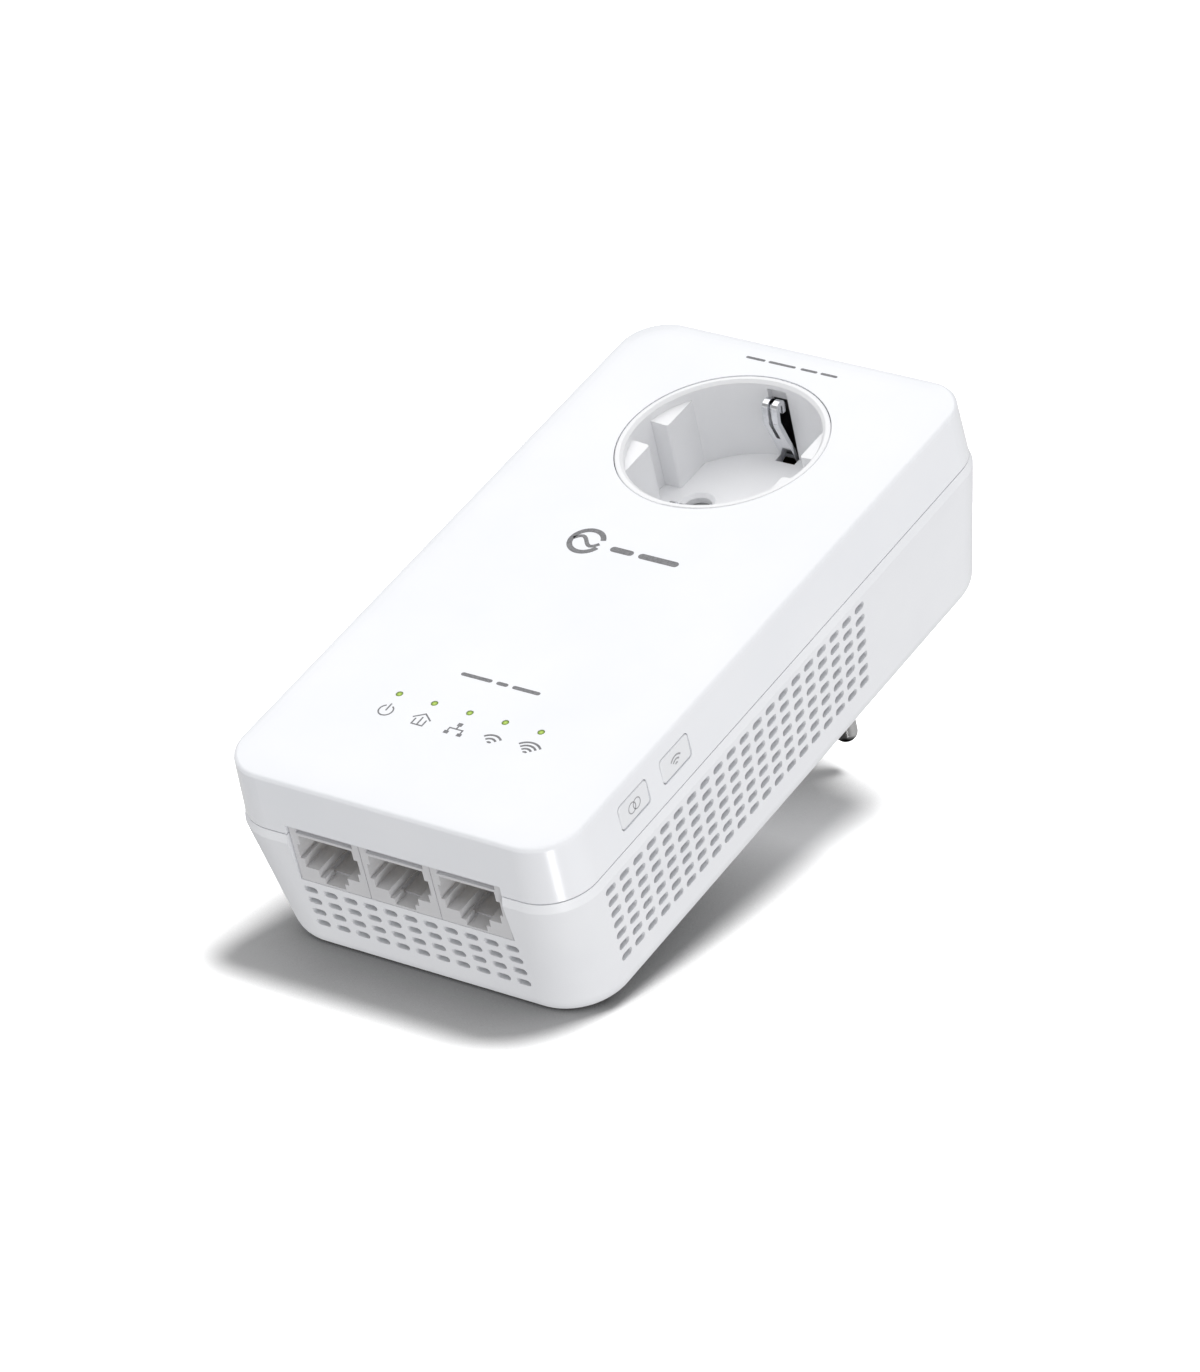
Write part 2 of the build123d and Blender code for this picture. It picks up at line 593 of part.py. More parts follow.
def make_choke():
    """A toroid core with two windings."""
    centre = Location((17.5, POWER_BOARD_Y[0] - 4.1, -57.0)) * Rot(90, 0, 0)
    core = centre * (Cylinder(8.0, 6.0) - Cylinder(4.2, 8.0))
    coils = []
    for side in (0, 180):
        wrap = Cylinder(8.9, 8.2) - Cylinder(3.3, 9.0)
        wrap -= Cylinder(8.05, 6.1) - Cylinder(4.15, 7.0)
        sector = Polyline((0, 0), (14, 8.5), (14, -8.5), close=True)
        wedge = extrude(make_face(sector), amount=12, both=True)
        coils.append(centre * Rot(0, 0, side) * (wrap & wedge))
    return core, group(coils)


def make_heat_sink():
    """A finned plate on the processor."""
    base = block((-18, 18), (-50.7, -49.5), (-82, -52))
    fins = [block((x - 0.5, x + 0.5), (-54.0, -50.7), (-82, -52)) for x in range(-17, 18, 3)]
    return base + fins


def make_antenna(side):
    x = sorted((side * 34.6, side * 35.4))
    return block(x, (-54.0, -47.6), (-28.0, 8.0))


def make_antenna_lead(side):
    """A thin coaxial lead from an antenna down to its connector on the main board."""
    points = [(side * 33.98, -50.8, -14.0), (side * 33.98, -50.8, -29.0), (side * 26.0, -50.4, -33.4),
              (side * 18.9, -50.2, -35.6)]
    path = FilletPolyline(*points, radius=6.0)
    section = Plane(origin=path @ 0, z_dir=path % 0) * Circle(0.6)
    return sweep(section, path=path)


# ---- write every node ---------------------------------------------------------------------
def main():
    os.makedirs("parts", exist_ok=True)
    write("front_cover", make_front_cover())
    write("rear_case", make_rear_case())
    write("case_screws", group(screw(-25.5, -50.0, 2.5, 1.25, x, z) for x, z in CASE_POSTS))
    write("rating_label", block((-LABEL_HALF_WIDTH, LABEL_HALF_WIDTH),
                                (BACK_Y - 0.25, BACK_Y - 0.05), LABEL_Z))

    write("socket_well", make_socket_well())
    write("earth_strap", make_earth_strap())
    write("live_contact", make_contact(-PIN_X))
    write("neutral_contact", make_contact(PIN_X))
    write("contact_block", make_contact_block())
    write("safety_shutter", make_shutter())
    write("shutter_spring", make_shutter_spring())

    write("plug_base", make_plug_base())
    write("plug_pin_left", make_plug_pin(-PIN_X))
    write("plug_pin_right", make_plug_pin(PIN_X))
    write("plug_earth_contact_upper", make_plug_earth_contact(1))
    write("plug_earth_contact_lower", make_plug_earth_contact(-1))
    write("live_bar", make_mains_bar(-PIN_X))
    write("neutral_bar", make_mains_bar(PIN_X))

    write("main_board", make_main_board())
    write("power_board", make_power_board())
    write("main_board_screws", group(screw(-45.2, -53.5, 2.1, 0.95, x, z) for x, z in MAIN_POSTS))
    write("power_board_screws", group(screw(-25.1, -18.5, 2.1, 0.95, x, z) for x, z in POWER_POSTS))
    write("insulation_sheet", block((-33, 33), (-43.0, -42.6), (-95, -33)))
    write("board_connector", block((-10, 10), (MAIN_BOARD_Y[1], POWER_BOARD_Y[0]), (-101, -97)))

    for number, x in enumerate(PORT_X, start=1):
        write("ethernet_jack_%d" % number, make_jack(x))
    write("jack_contacts", make_jack_contacts())
    write("light_guide", make_light_guide())
    write("status_lamps", make_status_lamps())
    for name, z in BUTTON_Z.items():
        write(name + "_button", make_button(z))
        write(name + "_switch", make_switch(z))
        write(name + "_switch_plunger", make_switch_plunger(z))

    core, winding = make_transformer()
    write("transformer_core", core)
    write("transformer_winding", winding)
    core, coils = make_choke()
    write("choke_core", core)
    write("choke_windings", coils)
    write("bulk_capacitors", group([can(6.3, 17, -23.5, -58), can(6.3, 17, -9.0, -60)]))
    write("output_capacitors", group([can(4.0, 12, 22, -76), can(4.0, 12, 22, -86)]))
    write("x_capacitor", on_power_board((-8, 6), (-49.5, -41.5), 14))
    write("coupling_capacitor", on_power_board((-28, -15), (-78, -72), 11))
    write("signal_transformer", on_power_board((-27, -17), (-91, -82), 9))
    write("bridge_rectifier", on_power_board((-16, -11), (-52, -40), 9))
    write("fuse", rod_x(2.6, (14, 24), POWER_BOARD_Y[0] - 2.6, -43.0))
    write("varistor", Pos(-22.7, POWER_BOARD_Y[0] - 6.5, -45) * Cylinder(6.5, 4.2))

    front = MAIN_BOARD_Y[0]
    back = MAIN_BOARD_Y[1]
    write("processor", block((-8, 8), (-49.5, front), (-75, -59)))
    write("memory_chip", block((-6, 6), (front - 1.1, front), (-48, -40)))
    write("heat_sink", make_heat_sink())
    write("radio_shield", block((-24, 10), (back, back + 2.6), (-62, -40)))
    write("port_transformers",
          group(block((x - 6, x + 6), (front - 2.8, front), (-117, -108)) for x in PORT_X))
    for side, name in ((-1, "left"), (1, "right")):
        write("antenna_" + name, make_antenna(side))
        write("antenna_lead_" + name, make_antenna_lead(side))
        x = sorted((side * 15.6, side * 18.2))
        write("antenna_connector_" + name, block(x, (front - 2.6, front), (-37.2, -34.4)))


main()
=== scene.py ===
import bpy
import math
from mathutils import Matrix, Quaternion, Vector


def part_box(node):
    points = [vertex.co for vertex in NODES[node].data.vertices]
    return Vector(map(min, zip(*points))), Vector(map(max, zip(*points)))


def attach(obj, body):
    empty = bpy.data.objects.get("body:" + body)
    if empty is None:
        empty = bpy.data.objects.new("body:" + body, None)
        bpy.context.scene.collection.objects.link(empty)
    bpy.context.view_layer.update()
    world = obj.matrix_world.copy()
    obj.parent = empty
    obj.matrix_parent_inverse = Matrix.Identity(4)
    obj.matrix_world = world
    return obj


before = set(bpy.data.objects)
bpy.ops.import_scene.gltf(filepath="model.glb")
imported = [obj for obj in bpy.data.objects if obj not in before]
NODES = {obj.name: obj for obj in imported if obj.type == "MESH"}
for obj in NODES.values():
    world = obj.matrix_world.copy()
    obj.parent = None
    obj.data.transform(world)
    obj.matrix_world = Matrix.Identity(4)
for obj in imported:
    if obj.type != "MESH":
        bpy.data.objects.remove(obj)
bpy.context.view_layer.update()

MM = 0.001

# ---- places read from the frame -------------------------------------------------------------
CASE_LOW, CASE_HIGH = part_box("rear_case")
LENS_LOW, LENS_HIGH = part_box("light_guide")
LABEL_LOW, LABEL_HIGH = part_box("rating_label")
WELL_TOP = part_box("socket_well")[1].z
FRONT_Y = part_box("front_cover")[0].y
LED_Z = (LENS_LOW.z + LENS_HIGH.z) / 2
LED_COUNT = 5
LED_RADIUS = 0.65 * MM
LED_END = 1.2 * MM
LED_PITCH = (LENS_HIGH.x - LENS_LOW.x - 2 * LED_END) / (LED_COUNT - 1)
LED_X = [LENS_LOW.x + LED_END + i * LED_PITCH for i in range(LED_COUNT)]

# The rear case's walls lean in by this much from its band to its back.
SIDE_DRAFT = 2.4 * MM
END_DRAFT = 2.9 * MM
BACK_EDGE_RADIUS = 4.5 * MM


# ---- camera ---------------------------------------------------------------------------------
AIM = Vector((-2.4, -33.1, -54.8)) * MM
DISTANCE = 1.211
AZIMUTH = math.radians(41.23)
ELEVATION = math.radians(-36.59)
ROLL = math.radians(42.38)


def make_camera():
    data = bpy.data.cameras.new("camera")
    data.lens = 168.1
    data.sensor_width = 36.0
    data.clip_start = 0.05
    data.clip_end = 20.0
    camera = bpy.data.objects.new("camera", data)
    bpy.context.scene.collection.objects.link(camera)
    back = Vector((math.sin(AZIMUTH) * math.cos(ELEVATION),
                   -math.cos(AZIMUTH) * math.cos(ELEVATION), math.sin(ELEVATION)))
    camera.rotation_mode = "QUATERNION"
    turn = (-back).to_track_quat("-Z", "Y")
    camera.rotation_quaternion = turn @ Quaternion((0, 0, 1), ROLL)
    camera.location = AIM + back * DISTANCE
    bpy.context.scene.camera = camera


# ---- node trees -----------------------------------------------------------------------------
class Paint:
    """A material under construction: a Principled shader and the object's own coordinates."""

    def __init__(self, name, **inputs):
        self.material = bpy.data.materials.new("fine_" + name)
        self.material.use_nodes = True
        self.tree = self.material.node_tree
        self.shader = self.tree.nodes["Principled BSDF"]
        self.place = self.node("TexCoord").outputs["Object"]
        self.put(self.shader, inputs)

    def put(self, node, values):
        for key, value in values.items():
            socket = node.inputs[key.replace("_", " ")]
            if isinstance(value, bpy.types.NodeSocket):
                self.tree.links.new(value, socket)
            else:
                socket.default_value = value

    def node(self, kind, settings=None, **inputs):
        node = self.tree.nodes.new("ShaderNode" + kind)
        for key, value in (settings or {}).items():
            setattr(node, key, value)
        self.put(node, inputs)
        return node

    def stretched(self, scale):
        return self.node("Mapping", Vector=self.place, Scale=scale).outputs["Vector"]

    def noise(self, scale, detail=2.0, stretch=(1, 1, 1)):
        """Cloudy noise; scale is in cells per metre."""
        where = self.stretched(stretch)
        return self.node("TexNoise", Vector=where, Scale=scale, Detail=detail).outputs["Fac"]

    def waves(self, scale, axis):
        settings = {"wave_type": "BANDS", "bands_direction": axis}
        return self.node("TexWave", settings, Vector=self.place, Scale=scale).outputs["Fac"]

    def ramp(self, factor, stops):
        """Colours along a factor: stops are (position, colour)."""
        node = self.node("ValToRGB", Fac=factor)
        elements = node.color_ramp.elements
        while len(elements) < len(stops):
            elements.new(0.5)
        for element, (position, colour) in zip(elements, stops):
            element.position = position
            element.color = (*colour, 1.0)
        return node.outputs["Color"]

    def level(self, factor, low, high):
        node = self.node("MapRange", Value=factor)
        node.inputs["To Min"].default_value = low
        node.inputs["To Max"].default_value = high
        return node.outputs["Result"]

    def math(self, operation, a, b):
        node = self.node("Math", {"operation": operation})
        for socket, value in zip(node.inputs, (a, b)):
            if isinstance(value, bpy.types.NodeSocket):
                self.tree.links.new(value, socket)
            else:
                socket.default_value = value
        return node.outputs["Value"]

    def mix(self, factor, a, b):
        node = self.node("Mix", {"data_type": "RGBA"})
        for index, value in ((0, factor), (6, a), (7, b)):
            if isinstance(value, bpy.types.NodeSocket):
                self.tree.links.new(value, node.inputs[index])
            else:
                node.inputs[index].default_value = value if index == 0 else (*value, 1.0)
        return node.outputs[2]

    def soft_edges(self, radius):
        """A normal that rounds sharp edges by this radius, in millimetres."""
        return self.node("Bevel", {"samples": 4}, Radius=radius * MM).outputs["Normal"]

    def bump(self, height, depth, normal=None):
        """Bump of this depth in millimetres."""
        node = self.node("Bump", Height=height, Strength=1.0, Distance=depth * MM)
        if normal is not None:
            self.tree.links.new(normal, node.inputs["Normal"])
        return node.outputs["Normal"]

    def finish(self, **inputs):
        self.put(self.shader, inputs)
        return self.material


# ---- materials, one for each slot -----------------------------------------------------------
def plastic(name, dark, light, roughness, grain, depth, edge=0.12, gloss=0.0):
    return plastic_paint(name, dark, light, roughness, grain, depth, edge, gloss).material


def plastic_paint(name, dark, light, roughness, grain, depth, edge, gloss):
    """Moulded plastic: slow tint, uneven polish, and a grain of this size and depth in mm."""
    paint = Paint(name, IOR=1.5)
    paint.shader.inputs["Coat Weight"].default_value = gloss
    paint.shader.inputs["Coat Roughness"].default_value = 0.08
    cloud = paint.noise(45.0, 3.0)
    colour = paint.ramp(cloud, [(0.3, dark), (0.7, light)])
    fine = paint.noise(1000.0 / grain, 3.0)
    polish = paint.level(paint.noise(160.0, 4.0), roughness - 0.04, roughness + 0.05)
    normal = paint.bump(fine, depth, paint.soft_edges(edge))
    paint.finish(Base_Color=colour, Roughness=polish, Normal=normal)
    return paint


def case_plastic():
    """The rear case's fine-grained plastic, with painted shade: a dark grey on its inside, which the
    vents show.
    """
    paint = plastic_paint("case_plastic", (0.87, 0.88, 0.91), (0.905, 0.915, 0.94), 0.42, 0.28,
                          0.01, 0.14, 0.0)
    outer = paint.shader.inputs["Base Color"].links[0].from_socket
    skin = 1.4 * MM
    corner_cut = 7.8 * MM
    back_skin = 1.6 * MM
    place = paint.node("SeparateXYZ", Vector=paint.place).outputs
    depth = CASE_HIGH.y - CASE_LOW.y
    lean = paint.math("DIVIDE", paint.math("SUBTRACT", place["Y"], CASE_LOW.y), depth)

    def within(axis, low, high, draft):
        """How far a point lies inside a pair of leaning walls."""
        offset = paint.math("SUBTRACT", place[axis], (low + high) / 2)
        limit = paint.math("SUBTRACT", (high - low) / 2 - skin, paint.math("MULTIPLY", lean, draft))
        return paint.math("SUBTRACT", limit, paint.math("ABSOLUTE", offset, 0))

    sides = within("X", CASE_LOW.x, CASE_HIGH.x, SIDE_DRAFT)
    ends = within("Z", CASE_LOW.z, CASE_HIGH.z, END_DRAFT)
    corners = paint.math("SUBTRACT", paint.math("ADD", sides, ends), corner_cut)
    least = paint.math("MINIMUM", paint.math("MINIMUM", sides, ends), corners)
    before_back = paint.math("LESS_THAN", place["Y"], CASE_HIGH.y - back_skin)
    # Painted shade: points inside the case's walls get a dark grey in place of the plastic's colour.
    inside = paint.math("MULTIPLY", paint.math("GREATER_THAN", least, 0), before_back)
    return paint.finish(Base_Color=paint.mix(inside, outer, (0.2, 0.2, 0.21)))


def metal(name, dark, light, roughness, stretch=(1, 1, 1), scale=900.0, depth=0.004):
    """Metal with drawn or brushed lines, which run along the axis that stretch scales least."""
    paint = Paint(name, Metallic=1.0)
    lines = paint.noise(scale, 4.0, stretch)
    stain = paint.noise(70.0, 3.0)
    blend = paint.math("ADD", paint.math("MULTIPLY", lines, 0.4), paint.math("MULTIPLY", stain, 0.6))
    colour = paint.ramp(blend, [(0.3, dark), (0.7, light)])
    polish = paint.level(lines, max(roughness - 0.05, 0.02), roughness + 0.08)
    normal = paint.bump(lines, depth, paint.soft_edges(0.1))
    return paint.finish(Base_Color=colour, Roughness=polish, Normal=normal)


def circuit_board():
    """Green solder mask with tracks under it, pads and vias."""
    paint = Paint("board_green", IOR=1.5)
    flat = paint.node("Mapping", Vector=paint.place, Rotation=(math.pi / 2, 0, 0)).outputs["Vector"]
    tracks = paint.node("TexBrick", {"offset": 0.37, "squash": 0.6, "squash_frequency": 3},
                        Vector=flat, Scale=260.0, Mortar_Size=0.035, Mortar_Smooth=0.1)
    vias = paint.node("TexVoronoi", Vector=flat, Scale=330.0).outputs["Distance"]
    via = paint.math("LESS_THAN", vias, 0.13)
    track = tracks.outputs["Fac"]
    mask = paint.mix(track, (0.012, 0.11, 0.035), (0.03, 0.22, 0.08))
    colour = paint.mix(via, mask, (0.75, 0.62, 0.3))
    normal = paint.bump(track, 0.03)
    return paint.finish(Base_Color=colour, Metallic=via, Roughness=paint.level(
        paint.noise(400.0), 0.25, 0.42), Normal=normal)


def wound_wire():
    """Rows of enamelled wire."""
    paint = Paint("winding")
    turns = paint.waves(420.0, "Z")
    colour = paint.ramp(turns, [(0.0, (0.16, 0.045, 0.015)), (0.7, (0.62, 0.25, 0.09))])
    return paint.finish(Base_Color=colour, Metallic=0.8, Roughness=paint.level(
        paint.noise(500.0), 0.25, 0.4), Normal=paint.bump(turns, 0.15))


def lens_plastic():
    """Clear light pipe, lit yellow-green at its end with a pale middle."""
    paint = Paint("lens", IOR=1.49)
    place = paint.node("SeparateXYZ", Vector=paint.place).outputs
    step = paint.math("ROUND", paint.math("DIVIDE", place["X"], LED_PITCH), 0.0)
    nearest = paint.math("SUBTRACT", place["X"], paint.math("MULTIPLY", step, LED_PITCH))
    across = paint.math("POWER", nearest, 2.0)
    along = paint.math("POWER", paint.math("SUBTRACT", place["Z"], LED_Z), 2.0)
    radius = paint.math("SQRT", paint.math("ADD", across, along), 0.0)
    ring = paint.math("DIVIDE", radius, LED_RADIUS)
    colour = paint.ramp(paint.math("ADD", ring, paint.math("MULTIPLY", paint.noise(3000.0), 0.1)),
                        [(0.0, (0.55, 0.75, 0.16)), (0.45, (0.36, 0.53, 0.05)),
                         (0.9, (0.14, 0.24, 0.01))])
    return paint.finish(Base_Color=colour, Emission_Color=colour, Emission_Strength=0.1,
                        Roughness=paint.level(ring, 0.2, 0.35))


def can_sleeve():
    """Shrink sleeve of a capacitor can, bare aluminium on its end."""
    paint = Paint("can_sleeve")
    depth = paint.node("SeparateXYZ", Vector=paint.place).outputs["Y"]
    bands = paint.noise(200.0, 2.0, (1, 0.1, 1))
    sleeve = paint.ramp(bands, [(0.35, (0.01, 0.012, 0.02)), (0.65, (0.03, 0.035, 0.06))])
    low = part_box("bulk_capacitors")[0].y
    end = paint.math("LESS_THAN", depth, low + 0.15 * MM)
    return paint.finish(Base_Color=paint.mix(end, sleeve, (0.6, 0.6, 0.62)), Metallic=end,
                        Roughness=paint.level(bands, 0.25, 0.4),
                        Normal=paint.bump(paint.noise(900.0), 0.02))


def label_foil():
    """Silvery matt label with a fine grain."""
    paint = Paint("label")
    grain = paint.noise(2500.0, 3.0)
    colour = paint.ramp(grain, [(0.3, (0.62, 0.63, 0.65)), (0.7, (0.74, 0.75, 0.77))])
    return paint.finish(Base_Color=colour, Metallic=0.25, Roughness=paint.level(grain, 0.4, 0.55),
                        Normal=paint.bump(grain, 0.004, paint.soft_edges(0.08)))


def printed_ink(name, dark, light):
    """Pad-printed ink: slightly patchy, with a matt edge."""
    paint = Paint(name)
    patches = paint.noise(2600.0, 3.0)
    colour = paint.ramp(patches, [(0.35, dark), (0.65, light)])
    return paint.finish(Base_Color=colour, Roughness=paint.level(patches, 0.4, 0.6),
                        Normal=paint.bump(patches, 0.004))


def make_materials():
    return {
        "cover_plastic": plastic("cover_plastic", (0.875, 0.89, 0.925), (0.905, 0.915, 0.945), 0.2,
                                 0.9, 0.0006, 0.1, 0.35),
        "case_plastic": case_plastic(),
        "socket_plastic": plastic("socket_plastic", (0.9, 0.905, 0.92), (0.93, 0.935, 0.95),
                                  0.34, 0.35, 0.006, 0.16),
        "plug_plastic": plastic("plug_plastic", (0.8, 0.805, 0.82), (0.85, 0.855, 0.87), 0.4,
                                0.3, 0.008),
        "button_plastic": plastic("button_plastic", (0.84, 0.85, 0.875), (0.875, 0.885, 0.91),
                                  0.24, 0.6, 0.001, 0.12, 0.3),
        "jack_plastic": plastic("jack_plastic", (0.65, 0.65, 0.665), (0.72, 0.72, 0.735), 0.4,
                                0.25, 0.006, 0.06),
        "pin_metal": metal("pin_metal", (0.4, 0.4, 0.4), (0.52, 0.52, 0.52), 0.1,
                           (1, 0.06, 1)),
        "earth_metal": metal("earth_metal", (0.66, 0.67, 0.7), (0.85, 0.86, 0.88), 0.09,
                             (1, 0.1, 0.1)),
        "brass": metal("brass", (0.5, 0.36, 0.13), (0.78, 0.6, 0.28), 0.24, (1, 0.1, 1)),
        "gold_wire": metal("gold_wire", (0.75, 0.52, 0.18), (0.95, 0.75, 0.36), 0.18,
                           (1, 1, 0.1)),
        "shutter_plastic": plastic("shutter_plastic", (0.33, 0.33, 0.34), (0.4, 0.4, 0.41),
                                   0.4, 0.3, 0.006),
        "block_plastic": plastic("block_plastic", (0.36, 0.34, 0.3), (0.46, 0.44, 0.39), 0.5,
                                 0.3, 0.01),
        "board_green": circuit_board(),
        "insulation": plastic("insulation", (0.7, 0.66, 0.52), (0.8, 0.77, 0.64), 0.45, 0.4,
                              0.01),
        "screw_steel": metal("screw_steel", (0.34, 0.34, 0.35), (0.55, 0.55, 0.56), 0.3),
        "spring_steel": metal("spring_steel", (0.45, 0.45, 0.46), (0.66, 0.66, 0.67), 0.22),
        "lens": lens_plastic(),
        "lamp": plastic("lamp", (0.75, 0.73, 0.45), (0.88, 0.87, 0.6), 0.3, 0.2, 0.004),
        "chip_black": plastic("chip_black", (0.012, 0.012, 0.013), (0.03, 0.03, 0.032), 0.55,
                              0.15, 0.01),
        "ferrite": plastic("ferrite", (0.03, 0.03, 0.032), (0.07, 0.068, 0.066), 0.6, 0.2,
                           0.02),
        "winding": wound_wire(),
        "copper": metal("copper", (0.5, 0.22, 0.1), (0.86, 0.46, 0.26), 0.25, (1, 1, 0.1)),
        "can_sleeve": can_sleeve(),
        "film_yellow": plastic("film_yellow", (0.62, 0.45, 0.03), (0.78, 0.6, 0.06), 0.35,
                               0.5, 0.01),
        "disc_blue": plastic("disc_blue", (0.02, 0.07, 0.3), (0.04, 0.12, 0.45), 0.35, 0.4,
                             0.02),
        "fuse_sleeve": plastic("fuse_sleeve", (0.2, 0.1, 0.04), (0.32, 0.17, 0.07), 0.35, 0.5,
                               0.01),
        "aluminium": metal("aluminium", (0.55, 0.56, 0.57), (0.78, 0.79, 0.8), 0.3,
                           (1, 1, 0.05)),
        "shield_metal": metal("shield_metal", (0.5, 0.5, 0.48), (0.72, 0.72, 0.7), 0.28,
                              (0.1, 1, 1)),
        "cable_black": plastic("cable_black", (0.012, 0.012, 0.013), (0.03, 0.03, 0.03), 0.4,
                               0.3, 0.01),
        "label": label_foil(),
    }


def paint_cad(materials):
    """Give each CAD node the detailed material of the slot it was packed with."""
    for node in NODES.values():
        slot = node.data.materials[0].name
        node.data.materials[0] = materials[slot]


# ---- thin printed shapes --------------------------------------------------------------------
class Print:
    """Flat strokes and patches drawn in millimetres, made into one thin mesh on a surface."""

    def __init__(self, origin, across, up, thickness=0.03):
        self.origin = origin
        self.across = across
        self.up = up
        self.out = across.cross(up).normalized()
        self.thickness = thickness
        self.verts = []
        self.faces = []

    def point(self, u, v, level):
        place = self.across * (u * MM) + self.up * (v * MM)
        return self.origin + place + self.out * (level * self.thickness * MM)

    def prism(self, loop):
        """A closed prism over a loop of (u, v) points that turns anticlockwise."""
        first = len(self.verts)
        count = len(loop)
        for level in (-0.5, 1.0):
            self.verts += [self.point(u, v, level) for u, v in loop]
        self.faces.append([first + i for i in reversed(range(count))])
        self.faces.append([first + count + i for i in range(count)])
        for i in range(count):
            j = (i + 1) % count
            self.faces.append([first + i, first + j, first + count + j, first + count + i])

    def patch(self, u, v, width, height):
        half_w, half_h = width / 2, height / 2
        self.prism([(u - half_w, v - half_h), (u + half_w, v - half_h),
                    (u + half_w, v + half_h), (u - half_w, v + half_h)])

    def dash(self, u, v, width, height):
        """A bar with round ends, from its left end."""
        radius = height / 2
        loop = []
        for centre, start in ((u + width - radius, -90), (u + radius, 90)):
            for step in range(7):
                angle = math.radians(start + 30 * step)
                loop.append((centre + radius * math.cos(angle), v + radius * math.sin(angle)))
        self.prism(loop)

    def stroke(self, points, width):
        """A line of this width through the points, with mitred corners."""
        sides = ([], [])
        for i, (u, v) in enumerate(points):
            before = Vector(points[max(i - 1, 0)])
            after = Vector(points[min(i + 1, len(points) - 1)])
            here = Vector((u, v))
            ways = [w.normalized() for w in (here - before, after - here) if w.length > 0]
            way = sum(ways, Vector((0, 0))).normalized()
            normal = Vector((-way.y, way.x))
            reach = width / 2 / max(normal.dot(Vector((-ways[0].y, ways[0].x))), 0.3)
            sides[0].append(tuple(here - normal * reach))
            sides[1].append(tuple(here + normal * reach))
        self.prism(sides[0] + sides[1][::-1])

    def arc(self, u, v, radius, start, end, width, steps=16):
        angles = [math.radians(start + (end - start) * i / steps) for i in range(steps + 1)]
        outer = [(u + (radius + width / 2) * math.cos(a), v + (radius + width / 2) * math.sin(a))
                 for a in angles]
        inner = [(u + (radius - width / 2) * math.cos(a), v + (radius - width / 2) * math.sin(a))
                 for a in angles]
        self.prism(outer + inner[::-1])

    def build(self, name, body, material):
        mesh = bpy.data.meshes.new(name)
        mesh.from_pydata([tuple(p) for p in self.verts], [], self.faces)
        mesh.update()
        mesh.materials.append(material)
        piece = bpy.data.objects.new(name, mesh)
        bpy.context.scene.collection.objects.link(piece)
        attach(piece, body)


X_AXIS = Vector((1, 0, 0))
Z_AXIS = Vector((0, 0, 1))
STROKE = 0.3


def power_sign(art, u, v):
    art.arc(u, v, 1.45, 118, 422, STROKE, 24)
    art.stroke([(u, v - 0.1), (u, v + 2.0)], STROKE)


def house_sign(art, u, v):
    """A roof over three upright bars on a base line."""
    art.stroke([(u - 2.0, v + 0.2), (u, v + 1.7), (u + 2.0, v + 0.2)], STROKE)
    art.stroke([(u - 1.35, v - 1.5), (u + 1.35, v - 1.5)], STROKE)
    for offset, top in ((-1.2, 0.1), (0.0, 0.75), (1.2, 0.1)):
        art.stroke([(u + offset, v - 1.35), (u + offset, v + top)], STROKE)


def network_sign(art, u, v):
    """One box above, joined to two below."""
    art.patch(u, v + 1.3, 1.0, 0.9)
    art.stroke([(u, v + 0.85), (u, v)], STROKE)
    art.stroke([(u - 1.45, v - 0.9), (u - 1.45, v), (u + 1.45, v), (u + 1.45, v - 0.9)], STROKE)
    for side in (-1, 1):
        art.patch(u + side * 1.45, v - 1.3, 1.0, 0.8)


def radio_sign(art, u, v, arcs, pitch, width):
    """Arcs that spread upwards, the smallest one at the bottom."""
    for i in range(arcs):
        art.arc(u, v - 1.5, 0.5 + pitch * i, 42, 138, width)


def wave_emblem(art, u, v):
    """A plain sign: one wave inside a broken ring."""
    art.arc(u, v, 3.3, 20, 340, 1.1, 36)
    points = [(u - 3.0 + 0.5 * i, v + 1.15 * math.sin(math.pi * i / 6)) for i in range(13)]
    art.stroke(points, 0.8)


def print_front(ink):
    """The emblem, the five icons under the lamps and two rows of plain dashes."""
    art = Print(Vector((0, FRONT_Y, 0)), X_AXIS, Z_AXIS)
    emblem_v = (CASE_LOW.z + CASE_HIGH.z) / 2 / MM + 7.0
    wave_emblem(art, -8.0, emblem_v)
    for u, width in ((-2.2, 5.2), (4.2, 9.0)):
        art.dash(u, emblem_v - 0.4, width, 1.5)
    speed_v = LED_Z / MM + 9.2
    for u, width in ((-8.2, 7.0), (-0.2, 2.6), (3.4, 6.2)):
        art.dash(u, speed_v, width, 0.9)
    rating_v = WELL_TOP / MM + 1.7
    for u, width in ((-10.4, 4.4), (-5.2, 6.2), (2.2, 3.8), (6.8, 3.8)):
        art.dash(u, rating_v, width, 0.6)
    icon_v = LED_Z / MM - 4.9
    columns = [x / MM + 0.3 for x in LED_X]
    power_sign(art, columns[0], icon_v)
    house_sign(art, columns[1], icon_v)
    network_sign(art, columns[2], icon_v)
    radio_sign(art, columns[3], icon_v, 3, 1.0, 0.44)
    radio_sign(art, columns[4], icon_v, 4, 0.9, 0.44)
    art.build("front_icons", "case", ink)


def print_button(name, body, arcs, ink):
    """A mark on a button's cap: linked rings on one, radio arcs on the other."""
    low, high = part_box(body)
    middle = Vector((high.x, (low.y + high.y) / 2, (low.z + high.z) / 2))
    art = Print(middle, Z_AXIS, Vector((0, -1, 0)), 0.02)
    if arcs:
        radio_sign(art, 0, 0.2, 3, 0.8, 0.34)
    else:
        for side in (-1, 1):
            art.arc(side * 0.75, 0, 1.1, 0, 360, 0.22, 28)
    art.build(name, body, ink)


